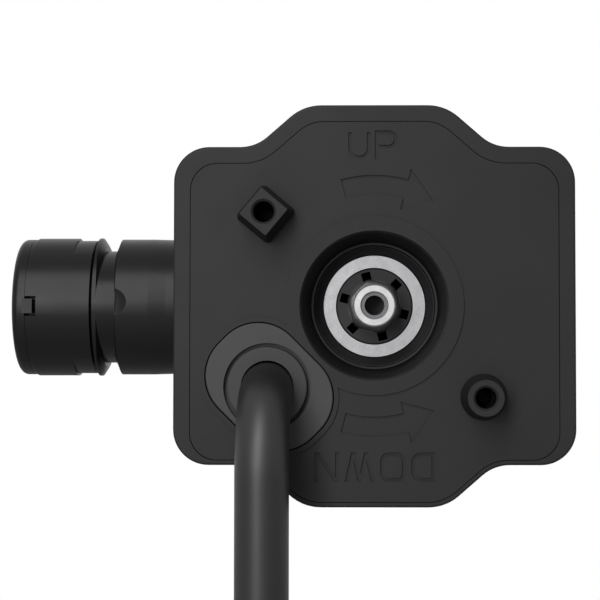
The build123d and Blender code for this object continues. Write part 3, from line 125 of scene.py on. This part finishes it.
class Finish:
    """One material's node tree, with short ways to add and join its nodes."""

    def __init__(self, name, colour, roughness, metallic=0.0, specular=0.5, coat=0.0):
        self.material = bpy.data.materials.new(name)
        self.material.use_nodes = True
        self.tree = self.material.node_tree
        self.shader = self.tree.nodes["Principled BSDF"]
        self.shader.inputs["Base Color"].default_value = (*colour, 1)
        self.shader.inputs["Roughness"].default_value = roughness
        self.shader.inputs["Metallic"].default_value = metallic
        self.shader.inputs["Specular IOR Level"].default_value = specular
        self.shader.inputs["Coat Weight"].default_value = coat
        self.place = self.add("ShaderNodeTexCoord").outputs["Object"]
        self.height = None

    def add(self, kind, **values):
        """Add a node and set its plain values."""
        node = self.tree.nodes.new(kind)
        for key, value in values.items():
            setattr(node, key, value)
        return node

    def join(self, source, target):
        """Link an output to an input."""
        self.tree.links.new(source, target)

    def mapped(self, location=(0, 0, 0), rotation=(0, 0, 0), scale=(1, 1, 1)):
        """Object coordinates, moved, turned or stretched."""
        node = self.add("ShaderNodeMapping")
        node.inputs["Location"].default_value = location
        node.inputs["Rotation"].default_value = rotation
        node.inputs["Scale"].default_value = scale
        self.join(self.place, node.inputs["Vector"])
        return node.outputs["Vector"]

    def noise(self, scale, detail=2.0, roughness=0.5):
        """Noise of a given scale per metre."""
        node = self.add("ShaderNodeTexNoise")
        node.inputs["Scale"].default_value = scale
        node.inputs["Detail"].default_value = detail
        node.inputs["Roughness"].default_value = roughness
        self.join(self.place, node.inputs["Vector"])
        return node.outputs["Fac"]

    def cells(self, scale):
        """Voronoi cells of a given scale per metre."""
        node = self.add("ShaderNodeTexVoronoi", feature="F1")
        node.inputs["Scale"].default_value = scale
        self.join(self.place, node.inputs["Vector"])
        return node.outputs["Distance"]

    def rings(self, scale, direction, distortion, vector):
        """Rings about one axis, as a lathe leaves them."""
        node = self.add("ShaderNodeTexWave", wave_type="RINGS", rings_direction=direction)
        node.inputs["Scale"].default_value = scale
        node.inputs["Distortion"].default_value = distortion
        node.inputs["Detail"].default_value = 2.0
        self.join(vector, node.inputs["Vector"])
        return node.outputs["Fac"]

    def bands(self, scale, direction, distortion=0.0):
        """Straight bands along one axis, as wound wire or drawn sheet shows them."""
        node = self.add("ShaderNodeTexWave", wave_type="BANDS", bands_direction=direction)
        node.inputs["Scale"].default_value = scale
        node.inputs["Distortion"].default_value = distortion
        self.join(self.place, node.inputs["Vector"])
        return node.outputs["Fac"]

    def reach(self, scale, across):
        """Distance from the origin in the plane that across keeps, times a scale."""
        node = self.add("ShaderNodeVectorMath", operation="LENGTH")
        self.join(self.mapped(scale=tuple(scale * part for part in across)), node.inputs[0])
        return node.outputs["Value"]

    def colour(self, factor, low, high, start=0.3, end=0.7):
        """Vary the base colour between low and high, by a factor."""
        node = self.add("ShaderNodeValToRGB")
        first, last = node.color_ramp.elements[0], node.color_ramp.elements[1]
        first.position, last.position = start, end
        first.color, last.color = (*low, 1), (*high, 1)
        self.join(factor, node.inputs["Fac"])
        self.join(node.outputs["Color"], self.shader.inputs["Base Color"])

    def paint_shade(self, axis, *stops):
        """Paint shade along an axis: scale colour and shine by stops, places in millimetres and their
        shares.
        """
        first, last = stops[0][0], stops[-1][0]
        parts = self.add("ShaderNodeSeparateXYZ")
        self.join(self.place, parts.inputs[0])
        span = self.add("ShaderNodeMapRange")
        span.inputs["From Min"].default_value = first * MM
        span.inputs["From Max"].default_value = last * MM
        self.join(parts.outputs[axis], span.inputs["Value"])
        share = self.add("ShaderNodeValToRGB")
        elements = share.color_ramp.elements
        for place, value in stops[1:-1]:
            elements.new((place - first) / (last - first)).color = (value, value, value, 1)
        for element, stop in ((elements[0], stops[0]), (elements[len(elements) - 1], stops[-1])):
            element.color = (stop[1], stop[1], stop[1], 1)
        self.join(span.outputs["Result"], share.inputs["Fac"])
        tint = self.add("ShaderNodeVectorMath", operation="MULTIPLY")
        self.join(self.shader.inputs["Base Color"].links[0].from_socket, tint.inputs[0])
        self.join(share.outputs["Color"], tint.inputs[1])
        self.join(tint.outputs["Vector"], self.shader.inputs["Base Color"])
        shine = self.add("ShaderNodeMath", operation="MULTIPLY")
        shine.inputs[1].default_value = self.shader.inputs["Specular IOR Level"].default_value
        self.join(share.outputs["Color"], shine.inputs[0])
        self.join(shine.outputs[0], self.shader.inputs["Specular IOR Level"])

    def rough(self, factor, low, high):
        """Vary the roughness by a factor."""
        node = self.add("ShaderNodeMapRange")
        node.inputs["To Min"].default_value = low
        node.inputs["To Max"].default_value = high
        self.join(factor, node.inputs["Value"])
        self.join(node.outputs["Result"], self.shader.inputs["Roughness"])

    def bump(self, factor, depth):
        """Raise the surface by a factor, depth in millimetres, on top of earlier bumps."""
        node = self.add("ShaderNodeBump")
        node.inputs["Strength"].default_value = 1.0
        node.inputs["Distance"].default_value = depth * MM
        self.join(factor, node.inputs["Height"])
        if self.height:
            self.join(self.height, node.inputs["Normal"])
        self.height = node.outputs["Normal"]
        self.join(self.height, self.shader.inputs["Normal"])


def shade(colour, factor):
    """A colour made lighter or darker."""
    return tuple(channel * factor for channel in colour)


def moulded(name, colour, roughness=0.5, grain=1500, depth=0.012, specular=0.15):
    """Moulded plastic: fine spark grain, faint flow clouds and uneven gloss."""
    finish = Finish(name, colour, roughness, specular=specular)
    clouds = finish.noise(45, 3, 0.55)
    finish.colour(clouds, shade(colour, 0.9), shade(colour, 1.12))
    finish.rough(finish.noise(160, 3), roughness - 0.05, roughness + 0.06)
    finish.bump(finish.noise(grain, 3, 0.6), depth)
    finish.bump(finish.noise(70, 2), depth * 1.5)
    return finish


def turned_metal(name, colour, roughness, direction, centre=(0, 0, 0), lines=1500, depth=0.004):
    """Turned metal: fine lathe rings about an axis, over faint blotches."""
    finish = Finish(name, colour, roughness, metallic=1.0)
    about = finish.mapped(location=tuple(-value for value in centre))
    ring = finish.rings(lines, direction, 1.5, about)
    blotch = finish.noise(420, 3, 0.6)
    finish.colour(blotch, shade(colour, 0.9), shade(colour, 1.08))
    finish.rough(ring, roughness - 0.05, roughness + 0.08)
    finish.bump(ring, depth)
    finish.bump(finish.noise(900, 2), depth)
    return finish


def dress(node, finish):
    """Give a CAD node its finish."""
    mesh = NODES[node].data
    mesh.materials.clear()
    mesh.materials.append(finish.material)


class BlindMotorSettings(bpy.types.PropertyGroup):
    """Sizes and colours that a user may change."""

    casing_colour: FloatVectorProperty(
        name="Casing colour", description="Colour of the casing and its cover",
        subtype="COLOR", size=3, min=0, max=1, default=(0.0146, 0.0146, 0.015))
    casing_roughness: FloatProperty(
        name="Casing roughness", description="How dull the casing is", min=0, max=1, default=0.5)
    grain_depth: FloatProperty(
        name="Grain depth", description="Depth of the moulded grain, in millimetres",
        min=0, max=0.1, default=0.012)
    barrel_colour: FloatVectorProperty(
        name="Barrel colour", description="Colour of the side barrel and its cap",
        subtype="COLOR", size=3, min=0, max=1, default=(0.006, 0.006, 0.0062))
    insert_colour: FloatVectorProperty(
        name="Outlet colour", description="Colour of the surround of the cable outlet",
        subtype="COLOR", size=3, min=0, max=1, default=(0.039, 0.0371, 0.0371))
    ring_colour: FloatVectorProperty(
        name="Steel ring colour", description="Colour of the hub's steel ring",
        subtype="COLOR", size=3, min=0, max=1, default=(0.37, 0.37, 0.38))
    sleeve_colour: FloatVectorProperty(
        name="Sleeve colour", description="Colour of the bright sleeve in the hub",
        subtype="COLOR", size=3, min=0, max=1, default=(0.55, 0.547, 0.55))
    lead_colour: FloatVectorProperty(
        name="Lead colour", description="Colour of the lead's jacket",
        subtype="COLOR", size=3, min=0, max=1, default=(0.003, 0.0029, 0.0029))
    lead_radius: FloatProperty(
        name="Lead radius", description="Radius of the lead", unit="LENGTH",
        min=0.001, max=0.01, default=LEAD_R * MM)
    sky_level: FloatProperty(
        name="Sky level", description="Strength of the light from all round",
        min=0, max=2, default=0.15)
    key_power: FloatProperty(
        name="Key light power", description="Power of the soft box high in front", unit="POWER",
        min=0, max=100, default=3.8)
    side_power: FloatProperty(
        name="Side light power", description="Power of the light strip at the left", unit="POWER",
        min=0, max=100, default=1.15)


class BLINDMOTOR_OT_casing(bpy.types.Operator):
    """Dress the casing, its cover, seal and screws"""

    bl_idname = "blind_motor.casing"
    bl_label = "Casing"

    def execute(self, context):
        s = settings(context)
        shell, cover = (
            moulded(name, s.casing_colour, s.casing_roughness, depth=s.grain_depth, specular=0.13)
            for name in ("casing_grained_black", "cover_grained_black"))
        # Painted shade: the cover's colour and shine drop with depth, darkest in the bore
        cover.paint_shade("Y", *COVER_PAINTED_SHADE)
        dress("rear_casing", shell)
        dress("front_cover", cover)
        seal = moulded("seal_black_rubber", (0.02, 0.02, 0.021), 0.75, grain=900, depth=0.02,
                       specular=0.2)
        dress("cover_seal", seal)
        screws = turned_metal("casing_screws_zinc", (0.5, 0.5, 0.51), 0.35, "Y", lines=800)
        for node in ("casing_screws", "gearbox_screws", "board_screws"):
            dress(node, screws)
        return {"FINISHED"}


class BLINDMOTOR_OT_barrel(bpy.types.Operator):
    """Dress the side barrel, its sleeve and end cap"""

    bl_idname = "blind_motor.barrel"
    bl_label = "Side barrel"

    def execute(self, context):
        s = settings(context)
        barrel = moulded("barrel_satin_black", s.barrel_colour, 0.32, grain=1100, depth=0.005,
                         specular=0.12)
        for node in ("motor_barrel", "barrel_sleeve", "end_cap"):
            dress(node, barrel)
        return {"FINISHED"}


class BLINDMOTOR_OT_hub(bpy.types.Operator):
    """Dress the drive hub, its rings, bushes and wheel"""

    bl_idname = "blind_motor.hub"
    bl_label = "Drive hub"

    def execute(self, context):
        s = settings(context)
        core = moulded("hub_moulded_black", RIM_COLOUR, 0.42, grain=900, depth=0.006)
        # Partly painted highlight: the boss is made lighter than the rim
        core.colour(core.reach(1 / BOSS_SPAN, (1, 0, 1)), BOSS_TONE_AND_HIGHLIGHT, RIM_COLOUR,
                    *(radius / BOSS_SPAN for radius in BOSS_EDGE))
        # Painted shade: the hub core's slots turn black with depth
        core.paint_shade("Y", *SLOT_PAINTED_SHADE)
        dress("output_hub", core)
        bush = moulded("bush_smooth_black", (0.011, 0.011, 0.011), 0.5, grain=700, depth=0.006)
        dress("hub_front_bush", bush)
        dress("hub_rear_bush", bush)
        ring = turned_metal("ring_turned_steel", s.ring_colour, 0.18, "Y", depth=0.0015)
        dress("hub_steel_ring", ring)
        sleeve = turned_metal("sleeve_satin_bright", s.sleeve_colour, 0.16, "Y", lines=2500,
                              depth=0.0005)
        dress("hub_sleeve", sleeve)
        insert = turned_metal("insert_dull_grey", (0.088, 0.088, 0.092), 0.5, "Y", lines=2500)
        dress("hub_screw_insert", insert)
        wheel = moulded("wheel_natural_acetal", (0.6, 0.59, 0.54), 0.35, grain=700, depth=0.008)
        for node in ("crown_wheel", "ring_gear", "planet_gear_1", "planet_gear_2", "planet_gear_3"):
            dress(node, wheel)
        dress("wheel_clip", turned_metal("clip_dark_spring_steel", (0.16, 0.16, 0.17), 0.4, "Y"))
        return {"FINISHED"}


class BLINDMOTOR_OT_outlet(bpy.types.Operator):
    """Dress the cable outlet's surround and grommet"""

    bl_idname = "blind_motor.outlet"
    bl_label = "Cable outlet"

    def execute(self, context):
        s = settings(context)
        surround = moulded("outlet_surround_grey", s.insert_colour, 0.48, grain=1300, depth=0.008)
        dress("outlet_insert", surround)
        grommet = moulded("grommet_grey", s.insert_colour, 0.6, grain=900, depth=0.012)
        dress("cable_grommet", grommet)
        return {"FINISHED"}


class BLINDMOTOR_OT_inside(bpy.types.Operator):
    """Dress the motor, the gears' metal parts and the circuit board"""

    bl_idname = "blind_motor.inside"
    bl_label = "Motor and board"

    def execute(self, context):
        steel = turned_metal("motor_zinc_steel", (0.45, 0.46, 0.47), 0.32, "X", MOTOR_AXIS, lines=500)
        for node in ("motor_can", "gearbox_plate", "gearbox_front_plate", "planet_carrier",
                     "motor_shaft", "planet_pins"):
            dress(node, steel)
        sintered = Finish("gear_sintered_steel", (0.32, 0.32, 0.32), 0.45, metallic=1.0)
        sintered.colour(sintered.cells(2600), (0.24, 0.24, 0.24), (0.4, 0.4, 0.4), 0.1, 0.6)
        sintered.bump(sintered.cells(2600), 0.01)
        dress("drive_pinion", sintered)
        dress("sun_gear", sintered)
        bronze = Finish("bearing_sintered_bronze", (0.45, 0.28, 0.13), 0.42, metallic=1.0)
        bronze.colour(bronze.cells(3200), (0.3, 0.18, 0.08), (0.55, 0.35, 0.17), 0.05, 0.5)
        bronze.bump(bronze.cells(3200), 0.008)
        dress("motor_bearings", bronze)
        dress("carrier_bush", bronze)
        ferrite = Finish("magnet_ground_ferrite", (0.05, 0.05, 0.055), 0.5)
        ferrite.colour(ferrite.noise(1800, 4, 0.7), (0.035, 0.035, 0.04), (0.08, 0.08, 0.085))
        ferrite.bump(ferrite.bands(1500, "Z", 3.0), 0.006)
        dress("motor_magnets", ferrite)
        dress("encoder_magnet", ferrite)
        carbon = Finish("brush_pressed_carbon", (0.03, 0.03, 0.03), 0.55)
        carbon.colour(carbon.noise(3500, 4, 0.8), (0.018, 0.018, 0.018), (0.06, 0.058, 0.055))
        carbon.bump(carbon.noise(3500, 4), 0.01)
        dress("motor_brushes", carbon)
        wire = Finish("coil_enamelled_copper", (0.4, 0.13, 0.05), 0.28, metallic=1.0)
        strands = wire.bands(900, "Z", 0.4)
        wire.colour(strands, (0.18, 0.05, 0.02), (0.55, 0.2, 0.08))
        wire.bump(strands, 0.12)
        dress("armature_windings", wire)
        copper = turned_metal("commutator_turned_copper", (0.6, 0.28, 0.15), 0.3, "X", MOTOR_AXIS,
                              lines=900)
        dress("commutator", copper)
        sheets = Finish("core_stacked_sheet", (0.22, 0.22, 0.23), 0.4, metallic=1.0)
        stack = sheets.bands(650, "X")
        sheets.colour(stack, (0.1, 0.1, 0.1), (0.3, 0.3, 0.31))
        sheets.bump(stack, 0.05)
        dress("armature_core", sheets)
        nylon = moulded("bell_black_nylon", (0.02, 0.02, 0.022), 0.45, grain=800, depth=0.01)
        dress("motor_end_bell", nylon)
        rubber = moulded("damper_black_rubber", (0.02, 0.02, 0.02), 0.8, grain=900, depth=0.02,
                         specular=0.2)
        dress("motor_damper_rings", rubber)
        board = Finish("board_green_mask", (0.01, 0.09, 0.035), 0.3, specular=0.5, coat=0.3)
        tracks = board.add("ShaderNodeTexBrick", offset=0.37, squash=1.6, squash_frequency=3)
        for key, value in (("Scale", 220.0), ("Mortar Size", 0.06), ("Brick Width", 0.9),
                           ("Row Height", 0.35), ("Color1", (0.008, 0.075, 0.03, 1)),
                           ("Color2", (0.01, 0.085, 0.034, 1)), ("Mortar", (0.03, 0.2, 0.08, 1))):
            tracks.inputs[key].default_value = value
        turned = board.mapped(rotation=(math.radians(90), 0, math.radians(45)))
        board.join(turned, tracks.inputs["Vector"])
        board.join(tracks.outputs["Color"], board.shader.inputs["Base Color"])
        board.bump(tracks.outputs["Fac"], 0.03)
        dress("circuit_board", board)
        dress("sensor_board", board)
        chips = moulded("chip_moulded_epoxy", (0.015, 0.015, 0.017), 0.5, grain=2500, depth=0.01)
        dress("board_parts", chips)
        terminal = moulded("terminal_green_nylon", (0.02, 0.16, 0.06), 0.4, grain=900, depth=0.01)
        dress("terminal_block", terminal)
        sleeve = Finish("wire_sleeve_red", (0.25, 0.02, 0.015), 0.4)
        sleeve.colour(sleeve.noise(300, 3), (0.18, 0.014, 0.012), (0.3, 0.03, 0.02))
        sleeve.bump(sleeve.noise(1500, 2), 0.01)
        dress("supply_wires", sleeve)
        dress("motor_leads", sleeve)
        return {"FINISHED"}


def coil_point(angle):
    """Place of the lead's coil at an angle from its start at the left, in millimetres."""
    turned_in = COIL_TURNS_IN * 2 * math.pi
    whole = 2 * turned_in + math.pi
    pull = COIL_PITCH / (2 * math.pi)
    if angle < turned_in:
        radius, depth = COIL_R - pull * angle, 0.0
    elif angle < turned_in + math.pi:
        past = angle - turned_in
        radius = COIL_R - pull * turned_in - pull * (past - past * past / math.pi)
        depth = COIL_PITCH * (1 - math.cos(past)) / 2
    else:
        radius, depth = COIL_R - pull * (whole - angle), COIL_PITCH
    radius /= math.cos(COIL_STEP / 2)
    return (COIL_X - radius * math.cos(angle), HANG_Y + depth, COIL_Z - radius * math.sin(angle))


def lead_route():
    """Control points of the lead from the grommet to its plug, in millimetres."""
    whole = (2 * COIL_TURNS_IN + 0.5) * 2 * math.pi
    count = round(whole / COIL_STEP)
    route = [
        (LEAD_X, LEAD_START_Y, LEAD_OUT_Z),
        (LEAD_X, HANG_Y + BEND_STEP, LEAD_OUT_Z),
        (LEAD_X, HANG_Y, LEAD_OUT_Z - BEND_STEP),
        (LEAD_X, HANG_Y, LEAD_OUT_Z - BEND_STEP - HANG_STEP),
        (LEAD_X, HANG_Y, COIL_Z + 2 * LEAD_R),
    ]
    route += [coil_point((number + 0.5) * COIL_STEP) for number in range(count)]
    route += [
        (LEAD_X, HANG_Y + COIL_PITCH, COIL_Z - 2 * LEAD_R),
        (LEAD_X, HANG_Y + COIL_PITCH, PLUG_TOP_Z),
    ]
    return route


class BLINDMOTOR_OT_lead(bpy.types.Operator):
    """Make the lead that hangs from the outlet, with its coil, tie and plug"""

    bl_idname = "blind_motor.lead"
    bl_label = "Lead and plug"

    def execute(self, context):
        s = settings(context)
        curve = bpy.data.curves.new("lead", "CURVE")
        curve.dimensions = "3D"
        spline = curve.splines.new("NURBS")
        route = lead_route()
        spline.points.add(len(route) - 1)
        for point, place in zip(spline.points, route):
            point.co = (*(value * MM for value in place), 1)
        spline.order_u = 3
        spline.use_endpoint_u = True
        curve.resolution_u = 10
        curve.bevel_depth = s.lead_radius
        curve.bevel_resolution = 10
        curve.use_fill_caps = True
        lead = bpy.data.objects.new("lead", curve)
        context.scene.collection.objects.link(lead)
        jacket = Finish("lead_satin_jacket", s.lead_colour, 0.46, specular=0.44)
        jacket.colour(jacket.noise(60, 3), shade(s.lead_colour, 0.88), shade(s.lead_colour, 1.15))
        jacket.rough(jacket.noise(260, 3), 0.43, 0.49)
        jacket.bump(jacket.noise(900, 3), 0.008)
        jacket.bump(jacket.noise(90, 2), 0.03)
        curve.materials.append(jacket.material)
        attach(lead, "housing")
        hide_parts("cable_run", "cable_coil", "cable_end")
        plug = moulded("plug_grained_black", (0.016, 0.016, 0.0165), 0.5, grain=1100, depth=0.012)
        dress("plug_gland_nut", plug)
        dress("line_plug", plug)
        tie = moulded("tie_black_nylon", (0.02, 0.02, 0.02), 0.35, grain=700, depth=0.01)
        dress("cable_tie", tie)
        brass = turned_metal("pins_turned_brass", (0.65, 0.45, 0.18), 0.25, "Z", lines=900)
        dress("plug_pins", brass)
        return {"FINISHED"}


class BLINDMOTOR_OT_stage(bpy.types.Operator):
    """Set up the floor, the backdrop light, the lamps and the camera"""

    bl_idname = "blind_motor.stage"
    bl_label = "Floor, light and camera"

    def execute(self, context):
        s = settings(context)
        scene = context.scene
        mesh = bpy.data.meshes.new("floor")
        build = bmesh.new()
        bmesh.ops.create_grid(build, x_segments=1, y_segments=1, size=FLOOR_HALF)
        bmesh.ops.translate(build, verts=build.verts, vec=(0, 0, CAD_BOX[0][2] - FLOOR_GAP))
        build.to_mesh(mesh)
        build.free()
        floor = bpy.data.objects.new("floor", mesh)
        scene.collection.objects.link(floor)
        pale = Finish("floor_pale", (0.8, 0.8, 0.8), 0.7, specular=0.2)
        pale.colour(pale.noise(3, 2), (0.78, 0.78, 0.78), (0.82, 0.82, 0.82))
        mesh.materials.append(pale.material)

        world = bpy.data.worlds.new("studio")
        scene.world = world
        world.use_nodes = True
        tree = world.node_tree
        back = tree.nodes["Background"]
        back.inputs["Color"].default_value = (1, 1, 1, 1)
        rays = tree.nodes.new("ShaderNodeLightPath")
        seen = rays.outputs["Is Camera Ray"]
        for kind in ("Is Transmission Ray", "Is Glossy Ray"):
            either = tree.nodes.new("ShaderNodeMath")
            either.operation = "MAXIMUM"
            tree.links.new(seen, either.inputs[0])
            tree.links.new(rays.outputs[kind], either.inputs[1])
            seen = either.outputs[0]
        level = tree.nodes.new("ShaderNodeMapRange")
        level.inputs["To Min"].default_value = s.sky_level
        level.inputs["To Max"].default_value = 1.0
        tree.links.new(seen, level.inputs["Value"])
        tree.links.new(level.outputs["Result"], back.inputs["Strength"])

        for name, place, size, power in (("key_light", KEY_PLACE, KEY_SIZE, s.key_power),
                                         ("side_light", SIDE_PLACE, SIDE_SIZE, s.side_power)):
            lamp = bpy.data.lights.new(name, "AREA")
            lamp.shape = "RECTANGLE"
            lamp.size, lamp.size_y = size
            lamp.energy = power
            holder = bpy.data.objects.new(name, lamp)
            holder.location = place
            aim = Vector(LAMP_TARGET) - Vector(place)
            holder.rotation_euler = aim.to_track_quat("-Z", "Y").to_euler()
            scene.collection.objects.link(holder)

        camera = bpy.data.cameras.new("photo_camera")
        camera.sensor_width = SENSOR_WIDTH
        camera.lens = SENSOR_WIDTH * PHOTO_FOCUS / PHOTO_SIZE
        camera.shift_x = (PHOTO_SIZE / 2 - AXIS_PIXEL[0]) / PHOTO_SIZE
        camera.shift_y = (AXIS_PIXEL[1] - PHOTO_SIZE / 2) / PHOTO_SIZE
        camera.clip_start = 0.01
        holder = bpy.data.objects.new("photo_camera", camera)
        holder.location = [value * MM for value in PHOTO_CAMERA]
        pitch = math.atan((DEPTH_PIXEL[1] - AXIS_PIXEL[1]) / PHOTO_FOCUS)
        yaw = math.atan((DEPTH_PIXEL[0] - AXIS_PIXEL[0]) / PHOTO_FOCUS)
        holder.rotation_euler = Euler((math.pi / 2 + pitch, 0, yaw))
        scene.collection.objects.link(holder)
        scene.camera = holder
        scene.view_settings.view_transform = "Standard"
        return {"FINISHED"}


OPERATORS = (BLINDMOTOR_OT_lead, BLINDMOTOR_OT_casing, BLINDMOTOR_OT_barrel, BLINDMOTOR_OT_hub,
             BLINDMOTOR_OT_outlet, BLINDMOTOR_OT_inside, BLINDMOTOR_OT_stage)


class BLINDMOTOR_PT_panel(bpy.types.Panel):
    """Buttons and sizes of the blind motor"""

    bl_idname = "BLINDMOTOR_PT_panel"
    bl_label = "Blind Motor"
    bl_space_type = "VIEW_3D"
    bl_region_type = "UI"
    bl_category = "Blind Motor"

    def draw(self, context):
        column = self.layout.column()
        for key in BlindMotorSettings.__annotations__:
            column.prop(settings(context), key)
        for operator in OPERATORS:
            column.operator(operator.bl_idname)


CLASSES = (BlindMotorSettings, *OPERATORS, BLINDMOTOR_PT_panel)


def register():
    """Register the classes and the scene's settings."""
    for cls in CLASSES:
        bpy.utils.register_class(cls)
    bpy.types.Scene.blind_motor = PointerProperty(type=BlindMotorSettings)


def unregister():
    """Take the settings and the classes away."""
    del bpy.types.Scene.blind_motor
    for cls in reversed(CLASSES):
        bpy.utils.unregister_class(cls)


def main():
    """Run every operator in order."""
    register()
    bpy.ops.blind_motor.lead()
    bpy.ops.blind_motor.casing()
    bpy.ops.blind_motor.barrel()
    bpy.ops.blind_motor.hub()
    bpy.ops.blind_motor.outlet()
    bpy.ops.blind_motor.inside()
    bpy.ops.blind_motor.stage()


if __name__ == "__main__":
    main()
